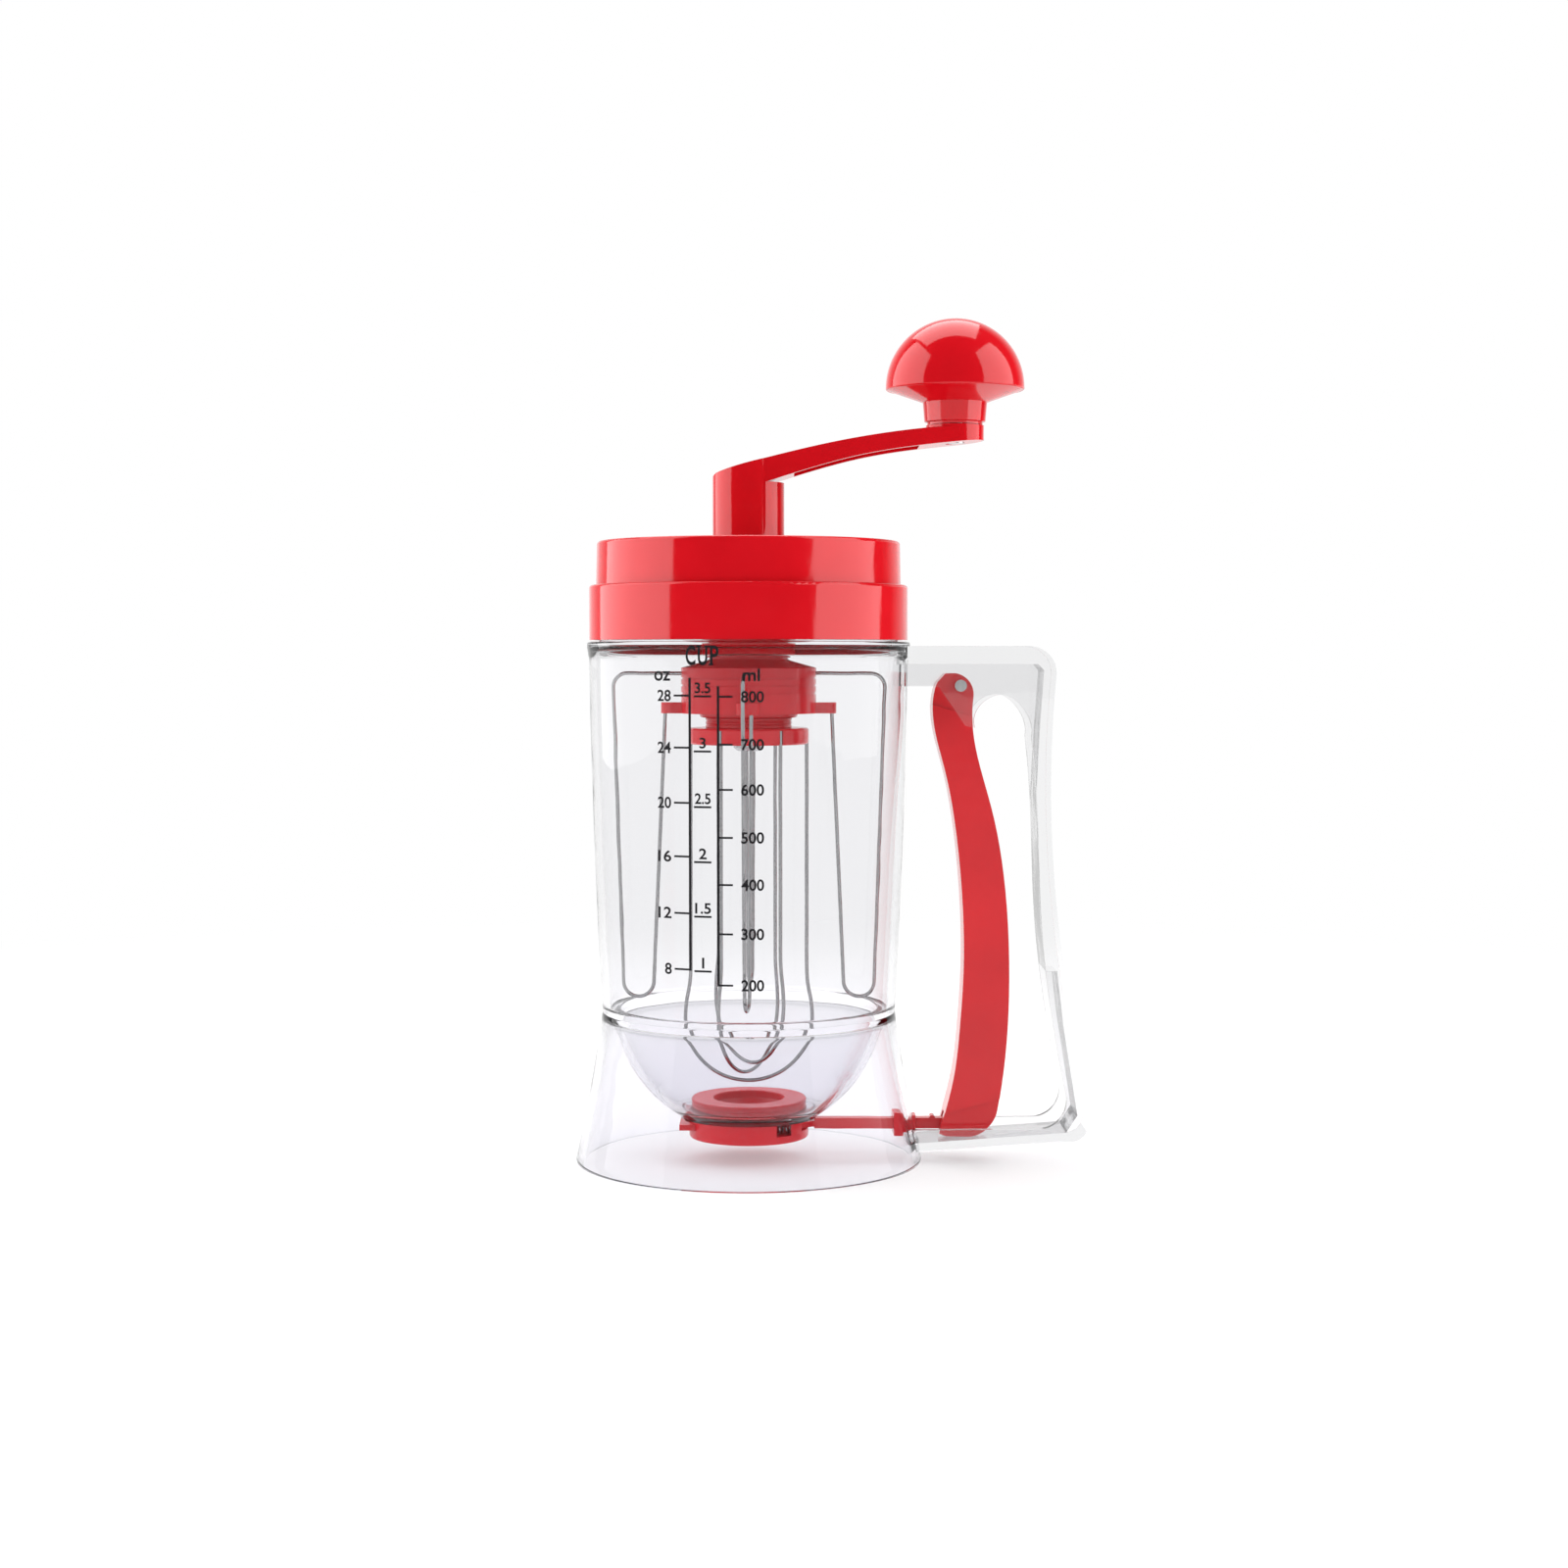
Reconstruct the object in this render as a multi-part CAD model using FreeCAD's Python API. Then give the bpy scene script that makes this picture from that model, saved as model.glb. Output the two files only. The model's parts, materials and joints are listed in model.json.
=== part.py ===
import FreeCAD, Part

import math
import os

# Hand-cranked batter mixer and dispenser, standing on its base rim.
# Millimetres. Origin on the jar's axis at the resting plane, +Z up, +X towards the handle.
# Every piece is one function that returns its shape; the last lines write them all out.

# Jar, bowl and skirt: heights and outer radii of the clear mouldings
WALL = 2.5
WAIST_Z = 48.0
WAIST_R = 47.0
JAR_MID_R = 49.4
JAR_TOP_R = 50.8
RIM_Z = 160.4
RIM_R = 51.6
SHOULDER_Z = 166.0
NECK_R = 47.4
NECK_BORE_R = 45.4
NECK_TOP_Z = 179.6
SKIRT_R = 55.5
SKIRT_MID_R = 50.6
BOWL_R = 43.2
BOWL_CENTRE_Z = 51.6
BOWL_WALL = 2.2
OUTLET_FLANGE_Z = 13.8
OUTLET_FLANGE_R = 22.0
BOWL_FLOOR_Z = 17.0
SPIGOT_R = 13.0

# Lid
LID_RING_R = 50.7
LID_BOTTOM_Z = 166.6
LID_STEP_Z = 184.0
LID_COVER_R = 48.5
LID_COVER_TOP_R = 48.2
LID_TOP_Z = 197.8
LID_WALL = 1.6
LID_WEB_Z = 181.6
LUG_COUNT = 3
LUG_HALF_ANGLE = 14.0
SCREW_CIRCLE_R = 34.0

# Gear train: one sun on the crank shaft, three planets on fixed pins, one ring in the drum
MODULE = 1.0
SUN_TEETH = 12
PLANET_TEETH = 12
RING_TEETH = 36
PLANET_COUNT = 3
GEAR_LOW_Z = 148.6
GEAR_HIGH_Z = 156.4
PRESSURE_ANGLE = math.radians(20.0)
BACKLASH = 0.16
RUNNING_GAP = 0.05
SHAFT_R = 5.0
SHAFT_LOW_R = 4.0
BUSH_R = 6.5
STEM_R = 8.0
PIN_R = 2.0

# Drum and paddles
DRUM_R = 21.6
DRUM_LOW_Z = 147.5
DRUM_HIGH_Z = 157.5
DRUM_FLOOR_Z = 143.3
TAB_REACH = 28.0
TAB_TOP_Z = 146.8
WIRE_R = 0.6
PADDLE_COUNT = 4
PADDLE_TOP_Z = 156.0
PADDLE_OUT_R = 43.6
PADDLE_LOW_Z = 52.0
PADDLE_IN_R = 26.4
PADDLE_SKEW = -8.0
PADDLE_PIVOT_R = 35.0

# Inner whisk
HUB_R = 19.2
HUB_LOW_Z = 133.5
HUB_HIGH_Z = 138.7
COLLAR_R = 13.8
COLLAR_HIGH_Z = 141.9
LEG_R = 18.6
BULGE_R = 20.4
BULGE_Z = 45.6
BULGE_RISE = 16.0
LOOP_STAGGER = 3.0
LOOP_PHASE = 3.0
LOOP_COUNT = 3

# Crank arm and knob
BOSS_R = 11.4
BOSS_LOW_Z = LID_TOP_Z + 0.1
ARM_REACH = 65.6
ARM_END_R = 9.2
ARM_END_TOP_Z = 234.6
ARM_WALL = 1.9
KNOB_AXLE_LOW_Z = 229.0
KNOB_AXLE_R = 3.0
KNOB_RIM_R = 22.0
KNOB_RIM_Z = 246.4
KNOB_NECK_R = 9.7

# Handle and trigger lever
HANDLE_HALF = 12.5
PLATE = 2.5
PIVOT_X = 66.9
PIVOT_Z = 152.2
PIVOT_PIN_R = 1.5
PIN_HEAD_R = 1.9
PIN_HEAD = 0.5
LEVER_HALF = 7.5
LEVER_EAR_HALF = 6.7

# Valve under the outlet
HOUSING_R = 19.2
HOUSING_LOW_Z = 7.3
GATE_LOW_Z = 10.5
GATE_HIGH_Z = 12.3
GATE_HALF = 9.0
GATE_GAP = 0.1
GATE_HOLE_X = -14.5
OUTLET_R = 6.0
ROD_Z = 11.6
ROD_HALF_HEIGHT = 1.7
ROD_HALF_WIDTH = 2.0
ROD_PIN_R = 1.2
SPRING_Y = -11.3
SPRING_START_X = -6.5
SPRING_END_X = 13.5
SPRING_COIL_R = 1.35
SPRING_WIRE_R = 0.25
SPRING_TURNS = 9
SPRING_END_GAP = 0.45
SPRING_PITCH = (SPRING_END_X - SPRING_START_X - 2 * SPRING_END_GAP) / SPRING_TURNS

Z_AXIS = FreeCAD.Vector(0, 0, 1)
ORIGIN = FreeCAD.Vector(0, 0, 0)


def vec(x, y, z):
    return FreeCAD.Vector(x, y, z)


def line(a, b):
    return Part.LineSegment(a, b).toShape()


def arc(a, middle, b):
    return Part.Arc(a, middle, b).toShape()


def spline(points):
    curve = Part.BSplineCurve()
    curve.interpolate(points)
    return curve.toShape()


def profile(points):
    """Edges in the XZ plane from (x, z) pairs; a pair wrapped in a list is the middle of an arc."""
    edges = []
    here = None
    middle = None
    for p in points:
        if isinstance(p, list):
            middle = vec(p[0], 0, p[1])
            continue
        there = vec(p[0], 0, p[1])
        if here is not None:
            edges.append(arc(here, middle, there) if middle else line(here, there))
        here = there
        middle = None
    return edges


def turned(points):
    """Solid of revolution about the jar's axis."""
    edges = profile(points + [points[0]])
    return Part.Face(Part.Wire(edges)).revolve(ORIGIN, Z_AXIS, 360)


def turned_at(points, x):
    """Solid of revolution about a vertical axis at x."""
    solid = turned(points)
    solid.translate(vec(x, 0, 0))
    return solid


def rod(radius, x, y, low, high):
    return Part.makeCylinder(radius, high - low, vec(x, y, low), Z_AXIS)


def tube(outer, inner, low, high):
    return rod(outer, 0, 0, low, high).cut(rod(inner, 0, 0, low, high))


def block(x0, x1, y0, y1, z0, z1):
    return Part.makeBox(x1 - x0, y1 - y0, z1 - z0, vec(x0, y0, z0))


def slab(edges, half):
    """A closed outline in the XZ plane, as thick as twice half, centred on Y = 0."""
    solid = Part.Face(Part.Wire(edges)).extrude(vec(0, 2 * half, 0))
    solid.translate(vec(0, -half, 0))
    return solid


def spun(shape, degrees):
    copy = shape.copy()
    copy.rotate(ORIGIN, Z_AXIS, degrees)
    return copy


def swept(edges, radius):
    """A round wire along a path of tangent lines and arcs."""
    path = Part.Wire(edges)
    start = edges[0].valueAt(edges[0].FirstParameter)
    direction = edges[0].tangentAt(edges[0].FirstParameter)
    ring = Part.Wire(Part.Circle(start, direction, radius).toShape())
    return Part.Solid(path.makePipeShell([ring], True, False))


def sector(inner, outer, low, high, middle_angle, half_angle):
    """Part of a ring, between two angles in degrees."""
    ring = Part.makeCylinder(outer, high - low, vec(0, 0, low), Z_AXIS, 2 * half_angle)
    ring = ring.cut(rod(inner, 0, 0, low, high))
    return spun(ring, middle_angle - half_angle)


# Clear mouldings


def jar_outside():
    return [
        (WAIST_R, WAIST_Z),
        [JAR_MID_R, (WAIST_Z + RIM_Z) / 2],
        (JAR_TOP_R, RIM_Z),
        (RIM_R, RIM_Z + 0.6),
        (RIM_R, SHOULDER_Z - 0.4),
        (RIM_R - 0.4, SHOULDER_Z),
    ]


def jar_wall():
    inside = [
        (NECK_R, SHOULDER_Z),
        (NECK_R, NECK_TOP_Z - 0.4),
        (NECK_R - 0.4, NECK_TOP_Z),
        (NECK_BORE_R, NECK_TOP_Z),
        (NECK_BORE_R, SHOULDER_Z - 1.5),
        (JAR_TOP_R - WALL, RIM_Z),
        [JAR_MID_R - WALL, (WAIST_Z + RIM_Z) / 2],
        (WAIST_R - WALL, WAIST_Z),
    ]
    wall = turned(jar_outside() + inside)
    lugs = [
        sector(NECK_R - 0.5, NECK_R + 1.2, 171.5, 174.0, 360 * i / LUG_COUNT, LUG_HALF_ANGLE)
        for i in range(LUG_COUNT)
    ]
    return wall.fuse(lugs)


def on_sphere(radius, z):
    return math.sqrt(radius**2 - (BOWL_CENTRE_Z - z) ** 2)


def jar_bowl():
    """Hemispherical bottom with a welding band at its rim and a flat floor round the outlet."""
    inner = BOWL_R - BOWL_WALL
    band_low = WAIST_Z - 2.5
    band_high = WAIST_Z + 2.8
    band_r = WAIST_R - WALL
    middle_z = 25.0
    flange_top = BOWL_CENTRE_Z - math.sqrt(BOWL_R**2 - OUTLET_FLANGE_R**2)
    return turned(
        [
            (SPIGOT_R, OUTLET_FLANGE_Z),
            (OUTLET_FLANGE_R, OUTLET_FLANGE_Z),
            (OUTLET_FLANGE_R, flange_top),
            [on_sphere(BOWL_R, middle_z), middle_z],
            (on_sphere(BOWL_R, band_low), band_low),
            (band_r, band_low),
            (band_r, band_high),
            (inner, WAIST_Z + 1.4),
            [on_sphere(inner, middle_z), middle_z],
            (on_sphere(inner, BOWL_FLOOR_Z), BOWL_FLOOR_Z),
            (SPIGOT_R, BOWL_FLOOR_Z),
        ]
    )


def skirt_outside():
    return [(WAIST_R, WAIST_Z), [SKIRT_MID_R, WAIST_Z / 2 + 1.0], (SKIRT_R, 0.5)]


def base_skirt():
    shell = turned(
        skirt_outside()
        + [
            (SKIRT_R - 0.5, 0),
            (SKIRT_R - WALL + 0.5, 0),
            (SKIRT_R - WALL, 0.5),
            [SKIRT_MID_R - WALL, WAIST_Z / 2 + 1.0],
            (WAIST_R - WALL, WAIST_Z),
        ]
    )
    return shell.cut(guide_plug())


def clear_body_solid():
    """The jar and skirt filled in, which trims what is moulded against them."""
    outline = skirt_outside()[::-1] + jar_outside()[1:]
    return turned([(0, 0), (SKIRT_R - 0.5, 0)] + outline + [(0, SHOULDER_Z)])


def handle_frame():
    """C-shaped handle: a strap with side plates, open towards the lever at both ends."""
    corner = 8.6
    outer_x = 97.1
    top = 164.65
    in_corner = corner * (1 - math.sqrt(0.5))
    outline = profile(
        [
            (45, 152),
            (45, top),
            (outer_x - corner, top),
            [outer_x - in_corner, top - in_corner],
            (outer_x, top - corner),
        ]
    )
    back = [(outer_x, top - corner), (95.5, 126), (96.5, 93.5), (102.8, 43.4), (107.8, 15.1)]
    outline.append(spline([vec(x, 0, z) for x, z in back]))
    outline += profile(
        [
            (107.8, 15.1),
            [106.7, 9.6],
            (101.5, 7.5),
            (45, 3.5),
            (45, 11.1),
            (92.0, 11.5),
            [98.6, 14.4],
            (100.9, 21.5),
        ]
    )
    grip = [(100.9, 21.5), (97.0, 42), (92.6, 79), (91.4, 109), (89.3, 136)]
    outline.append(spline([vec(x, 0, z) for x, z in grip]))
    arch = [(89.3, 136), (86.2, 145.6), (80.0, 149.3), (73.6, 146.6), (71.4, 139.0)]
    outline.append(spline([vec(x, 0, z) for x, z in arch]))
    outline += profile([(71.4, 139.0), (68.5, 139.5), (60.0, 152), (45, 152)])
    frame = slab(outline, HANDLE_HALF)
    upper = [(45, 130), (45, 159), (91.5, 159), (93.3, 157), (92.0, 138), (91.0, 116), (70, 116)]
    lower = [(45, 6.1), (101, 10.1), (104.6, 15.6), (100.1, 43.4), (97.9, 61.7), (88, 61.7), (45, 40)]
    for pocket in (upper, lower):
        frame = frame.cut(slab(profile(pocket + [pocket[0]]), HANDLE_HALF - PLATE))
    pin_hole = Part.makeCylinder(
        PIVOT_PIN_R, 2 * HANDLE_HALF, vec(PIVOT_X, -HANDLE_HALF, PIVOT_Z), vec(0, 1, 0)
    )
    return frame.cut(pin_hole).cut(clear_body_solid())


def pivot_pin():
    """Steel pin with a low round head, pressed into both side plates."""
    front = -HANDLE_HALF - 0.1
    y_axis = vec(0, 1, 0)
    pin = Part.makeCylinder(PIVOT_PIN_R, HANDLE_HALF - front, vec(PIVOT_X, front, PIVOT_Z), y_axis)
    head = Part.makeCylinder(PIN_HEAD_R, PIN_HEAD, vec(PIVOT_X, front - PIN_HEAD, PIVOT_Z), y_axis)
    return pin.fuse(head)


# Valve under the outlet


def valve_collar():
    """Red ring inside the bowl; its spigot goes down through the bowl floor into the housing."""
    top = 19.8
    return turned(
        [
            (6.5, 13.3),
            (SPIGOT_R, 13.3),
            (SPIGOT_R, BOWL_FLOOR_Z),
            (18.6, BOWL_FLOOR_Z),
            (18.6, 18.0),
            (18.3, 18.2),
            (18.6, 18.4),
            (18.6, top - 0.4),
            (18.2, top),
            (11.6, top),
            (11.3, top - 0.3),
            (11.3, 17.4),
        ]
    )


def gate_seal():
    return tube(9.4, OUTLET_R + 0.4, GATE_HIGH_Z + GATE_GAP, 13.3)


def spring_pocket():
    """Room for the return spring and the gate's lug, with a window to the front right."""
    low = ROD_Z - SPRING_COIL_R - 0.5
    high = ROD_Z + SPRING_COIL_R + 0.5
    run = block(SPRING_START_X - 2.0, SPRING_END_X, -13.4, -8.9, low, high)
    window = block(9.0, SPRING_END_X, -20.0, -12.0, low, high)
    return run.fuse(window)


def valve_housing():
    body = rod(HOUSING_R, 0, 0, HOUSING_LOW_Z, OUTLET_FLANGE_Z)
    body = body.makeFillet(0.8, [e for e in body.Edges if abs(e.CenterOfMass.z - HOUSING_LOW_Z) < 0.01])
    slot = block(
        -HOUSING_R - 1,
        HOUSING_R + 1,
        -GATE_HALF - GATE_GAP,
        GATE_HALF + GATE_GAP,
        GATE_LOW_Z - GATE_GAP,
        GATE_HIGH_Z + GATE_GAP,
    )
    mouth = rod(OUTLET_R, 0, 0, HOUSING_LOW_Z, ROD_Z)
    seat = rod(SPIGOT_R, 0, 0, GATE_HIGH_Z + GATE_GAP, OUTLET_FLANGE_Z)
    rod_way = block(14.0, HOUSING_R + 1, -3.0, 3.0, ROD_Z - 2.2, OUTLET_FLANGE_Z)
    return body.cut([slot, mouth, seat, spring_pocket(), rod_way])


def gate_plate():
    """Sliding plate with the pouring hole; its tail lies in the pull rod's fork."""
    half = GATE_HALF
    tail = ROD_HALF_WIDTH
    near_side = [(-22, -half), (13, -half), (20.5, -tail), (26, -tail)]
    points = near_side + [(x, -y) for x, y in reversed(near_side)]
    corners = [vec(x, y, GATE_LOW_Z) for x, y in points]
    face = Part.Face(Part.makePolygon(corners + [corners[0]]))
    plate = face.extrude(vec(0, 0, GATE_HIGH_Z - GATE_LOW_Z))
    lug = block(SPRING_START_X - 1.2, SPRING_START_X, -12.9, -half, GATE_LOW_Z, GATE_HIGH_Z)
    hole = rod(OUTLET_R, GATE_HOLE_X, 0, GATE_LOW_Z - 1, GATE_HIGH_Z + 1)
    peg_hole = rod(1.0, 24, 0, GATE_LOW_Z - 1, GATE_HIGH_Z + 1)
    return plate.fuse(lug).cut([hole, peg_hole])


def pull_rod():
    """Flat bar from the gate to the lever, forked over the gate's tail, with a nib near the lever."""
    low = ROD_Z - ROD_HALF_HEIGHT
    high = ROD_Z + ROD_HALF_HEIGHT
    half = ROD_HALF_WIDTH
    bar = block(21.0, 70.0, -half, half, low, high)
    fork = block(21.0, 26.0, -half, half, GATE_LOW_Z, GATE_HIGH_Z)
    peg = rod(1.0, 24, 0, low, high)
    nib = Part.makeCylinder(0.9, 2 * half, vec(58.9, -half, high), vec(0, 1, 0))
    pin_hole = Part.makeCylinder(ROD_PIN_R, 2 * half, vec(PIVOT_X, -half, ROD_Z), vec(0, 1, 0))
    return bar.cut(fork).fuse([peg, nib]).cut(pin_hole)


def rod_pin():
    return Part.makeCylinder(ROD_PIN_R, 12.0, vec(PIVOT_X, -6.0, ROD_Z), vec(0, 1, 0))


def guide_plug():
    """The part of the rod guide that fills the window in the skirt."""
    return block(46.4, 57.0, -3.4, 3.4, ROD_Z - 2.7, ROD_Z + 2.7)


def rod_guide():
    plug = guide_plug().common(rod(53.6, 0, 0, 0, 30))
    collar = block(46.4, 49.4, -4.4, 4.4, ROD_Z - 3.7, ROD_Z + 3.7)
    reach_y = ROD_HALF_WIDTH + RUNNING_GAP
    reach_z = ROD_HALF_HEIGHT + RUNNING_GAP
    way = block(40, 60, -reach_y, reach_y, ROD_Z - reach_z, ROD_Z + reach_z)
    return plug.fuse(collar).cut(way)


def helix_point(angle):
    slope = SPRING_PITCH / (2 * math.pi)
    x = SPRING_START_X + SPRING_END_GAP + slope * angle
    y = SPRING_Y + SPRING_COIL_R * math.cos(angle)
    z = ROD_Z + SPRING_COIL_R * math.sin(angle)
    tangent = vec(slope, -SPRING_COIL_R * math.sin(angle), SPRING_COIL_R * math.cos(angle))
    return vec(x, y, z), tangent.normalize()


def tangent_arc(a, direction, b):
    """The arc from a to b that leaves a along direction."""
    chord = b.sub(a)
    length = chord.Length
    along = chord.multiply(1 / length)
    side = direction.sub(vec(along.x, along.y, along.z).multiply(direction.dot(along)))
    half_angle = math.atan2(side.Length, direction.dot(along))
    side.normalize()
    middle = a.add(b).multiply(0.5).add(side.multiply(length / 2 * math.tan(half_angle / 2)))
    return arc(a, middle, b)


def biarc(a, leave, b, arrive):
    """Two arcs from a to b, tangent to each other and to both directions."""
    gap = b.sub(a)
    both = leave.add(arrive)
    turn = 2 * (1 - leave.dot(arrive))
    reach = (-gap.dot(both) + math.sqrt(gap.dot(both) ** 2 + turn * gap.dot(gap))) / turn
    first = a.add(vec(leave.x, leave.y, leave.z).multiply(reach))
    second = b.sub(vec(arrive.x, arrive.y, arrive.z).multiply(reach))
    joint = first.add(second).multiply(0.5)
    across = second.sub(first).normalize()
    return [tangent_arc(a, leave, joint), tangent_arc(joint, across, b)]


def least_coil_gap():
    """Least distance between points a turn or more apart, less the wire's thickness."""
    steps = 48
    points = [helix_point(2 * math.pi * i / steps)[0] for i in range(steps * SPRING_TURNS + 1)]
    half_turn = steps // 2
    gaps = [a.distanceToPoint(b) for i, a in enumerate(points) for b in points[i + half_turn:]]
    return min(gaps) - 2 * SPRING_WIRE_R


def return_spring():
    """Compression spring beside the gate, one unbroken wire of quarter-turn arcs."""
    quarters = 4 * SPRING_TURNS
    ends = [helix_point(i * math.pi / 2) for i in range(quarters + 1)]
    edges = []
    for (a, leave), (b, arrive) in zip(ends, ends[1:]):
        edges += biarc(a, leave, b, arrive)
    straight = 2 * SPRING_WIRE_R
    first, first_way = ends[0]
    last, last_way = ends[-1]
    lead_in = line(first.sub(vec(*first_way).multiply(straight)), first)
    lead_out = line(last, last.add(vec(*last_way).multiply(straight)))
    print("return spring least gap to itself, mm:", round(least_coil_gap(), 2))
    return swept([lead_in] + edges + [lead_out], SPRING_WIRE_R)


# Trigger lever


def lever_outline(inset):
    """The lever's S-shaped side outline; inset moves its front edge back."""
    left = [
        (60.8, 9.2),
        (62.9, 16.6),
        (65.4, 27),
        (67.4, 44),
        (68.5, 63),
        (68.4, 76),
        (66.4, 102),
        (62.2, 125.8),
        (59.0, 138.5),
        (58.4, 146.5),
        (59.8, 153.2),
    ]
    right = [(71.3, 148.5), (71.2, 138), (77.1, 113.5), (81.5, 88.7), (83.0, 63), (81.8, 33), (79.6, 17.5)]
    front = [vec(x + inset, 0, z) for x, z in left]
    back = [vec(x, 0, z) for x, z in right]
    edges = [spline(front)]
    top_left = (left[-1][0] + inset, left[-1][1])
    edges += profile([top_left, (62.4 + inset, 156.0), (65.6, 156.1), [69.9, 153.6], right[0]])
    edges.append(spline(back))
    edges += profile([right[-1], [76.3, 10.9], (70.2, 8.2), (63.0, 8.4), (left[0][0] + inset, left[0][1])])
    return edges


def trigger_lever():
    """Red lever, hollow towards the grip, with thinner ears and a fork for the pull rod."""
    blade = slab(lever_outline(0), LEVER_EAR_HALF)
    cheeks = profile([(50, 148.6), (80, 139.8), (95, 60), (80, 20.2), (50, 12.4), (50, 148.6)])
    blade = blade.fuse(slab(lever_outline(0), LEVER_HALF).common(slab(cheeks, LEVER_HALF + 1)))
    hollow = slab(lever_outline(2.2), LEVER_EAR_HALF - 1.8)
    ribs = [block(50, 90, -10, 10, z - 1.0, z + 1.0) for z in (50, 80, 110)]
    room = block(50, 90, -10, 10, 24, 134)
    hollow = hollow.fuse(hollow.copy().translate(vec(3, 0, 0))).common(room).cut(ribs)
    bore = Part.makeCylinder(
        PIVOT_PIN_R + RUNNING_GAP, 20, vec(PIVOT_X, -10, PIVOT_Z), vec(0, 1, 0)
    )
    fork = block(58, 73.5, -ROD_HALF_WIDTH - 0.6, ROD_HALF_WIDTH + 0.6, 5, 15.4)
    pin_slot = block(
        PIVOT_X - ROD_PIN_R - 0.2,
        PIVOT_X + ROD_PIN_R + 0.2,
        -6.3,
        6.3,
        ROD_Z - ROD_PIN_R - 1.3,
        ROD_Z + ROD_PIN_R + 0.4,
    )
    return blade.cut([hollow, bore, fork, pin_slot])


# Lid


def lid_ring():
    """Lower lid tier: skirt, web and the central sleeve that holds the gear carrier."""
    inner = LID_RING_R - LID_WALL
    ring = turned(
        [
            (LID_RING_R, LID_BOTTOM_Z),
            (LID_RING_R, LID_STEP_Z - 1.0),
            [LID_RING_R - 0.3, LID_STEP_Z - 0.3],
            (LID_RING_R - 1.0, LID_STEP_Z),
            (9.0, LID_STEP_Z),
            (9.0, 164.0),
            (14.6, 164.0),
            (15.0, 164.4),
            (15.0, LID_WEB_Z),
            (inner, LID_WEB_Z),
            (inner, LID_BOTTOM_Z),
        ]
    )
    lugs = [
        sector(NECK_R + 0.5, inner + 0.4, 168.2, 170.8, 60 + 360 * i / LUG_COUNT, LUG_HALF_ANGLE)
        for i in range(LUG_COUNT)
    ]
    holes = [spun(rod(1.6, SCREW_CIRCLE_R, 0, 180, 186), 90 + 120 * i) for i in range(3)]
    return ring.fuse(lugs).cut(holes)


def lid_cover():
    """Upper lid tier: a shallow cap with a boss for the bush and three screw posts."""
    ceiling = LID_TOP_Z - 2.2
    cap = turned(
        [
            (LID_COVER_R, LID_STEP_Z),
            (LID_COVER_TOP_R, LID_TOP_Z - 1.0),
            [LID_COVER_TOP_R - 0.3, LID_TOP_Z - 0.3],
            (LID_COVER_TOP_R - 1.0, LID_TOP_Z),
            (BUSH_R, LID_TOP_Z),
            (BUSH_R, 185.5),
            (9.5, 185.5),
            (9.5, ceiling),
            (LID_COVER_R - 2.0, ceiling),
            (LID_COVER_R - 2.0, LID_STEP_Z),
        ]
    )
    posts = [spun(rod(3.2, SCREW_CIRCLE_R, 0, LID_STEP_Z, ceiling + 0.5), 90 + 120 * i) for i in range(3)]
    holes = [spun(rod(1.4, SCREW_CIRCLE_R, 0, LID_STEP_Z, 192), 90 + 120 * i) for i in range(3)]
    return cap.fuse(posts).cut(holes)


def cover_screws():
    """Three small screws from below, through the web into the cover's posts."""
    head = rod(3.0, SCREW_CIRCLE_R, 0, 179.8, LID_WEB_Z)
    shank = rod(1.4, SCREW_CIRCLE_R, 0, LID_WEB_Z, 191.5)
    recess = block(SCREW_CIRCLE_R - 1.8, SCREW_CIRCLE_R + 1.8, -0.4, 0.4, 179.8, 180.8)
    cross = block(SCREW_CIRCLE_R - 0.4, SCREW_CIRCLE_R + 0.4, -1.8, 1.8, 179.8, 180.8)
    screw = head.fuse(shank).cut([recess, cross])
    return Part.makeCompound([spun(screw, 90 + 120 * i) for i in range(3)])


def lid_gasket():
    return tube(LID_RING_R - LID_WALL - 0.2, NECK_BORE_R - 0.2, NECK_TOP_Z, LID_WEB_Z)


def shaft_bush():
    return tube(BUSH_R, SHAFT_R + RUNNING_GAP, 159.5, LID_TOP_Z - 0.1)


def gear_carrier():
    """Fixed stem that hangs in the sleeve and ends in the plate that holds the planet pins."""
    stem = turned(
        [
            (SHAFT_R + 0.3, 156.6),
            (14.4, 156.6),
            (14.4, 158.2),
            (STEM_R, 158.2),
            (STEM_R, 164.0),
            (9.0, 164.0),
            (9.0, LID_STEP_Z),
            (12.0, LID_STEP_Z),
            (12.0, 185.5),
            (BUSH_R, 185.5),
            (BUSH_R, 159.5),
            (SHAFT_R + 0.3, 159.5),
        ]
    )
    return stem.cut(planet_positions(rod(PIN_R, 0, 0, 150, 160)))


def planet_positions(shape):
    """The shape at each planet's place, turned with its angle round the sun."""
    reach = MODULE * (SUN_TEETH + PLANET_TEETH) / 2
    placed = []
    for i in range(PLANET_COUNT):
        copy = shape.copy()
        copy.translate(vec(reach, 0, 0))
        placed.append(spun(copy, 90 + 360 * i / PLANET_COUNT))
    return placed


def planet_pins():
    """Three pins with small heads below the gears."""
    pin = rod(PIN_R, 0, 0, GEAR_LOW_Z - 0.1, 158.2)
    head = rod(PIN_R + 0.8, 0, 0, GEAR_LOW_Z - 0.8, GEAR_LOW_Z - 0.1)
    return Part.makeCompound(planet_positions(pin.fuse(head)))


# Gears


def involute(base, radius):
    """Angle that an involute has turned through where it reaches a radius."""
    if radius <= base:
        return 0.0
    pressure = math.acos(base / radius)
    return math.tan(pressure) - pressure


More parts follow.
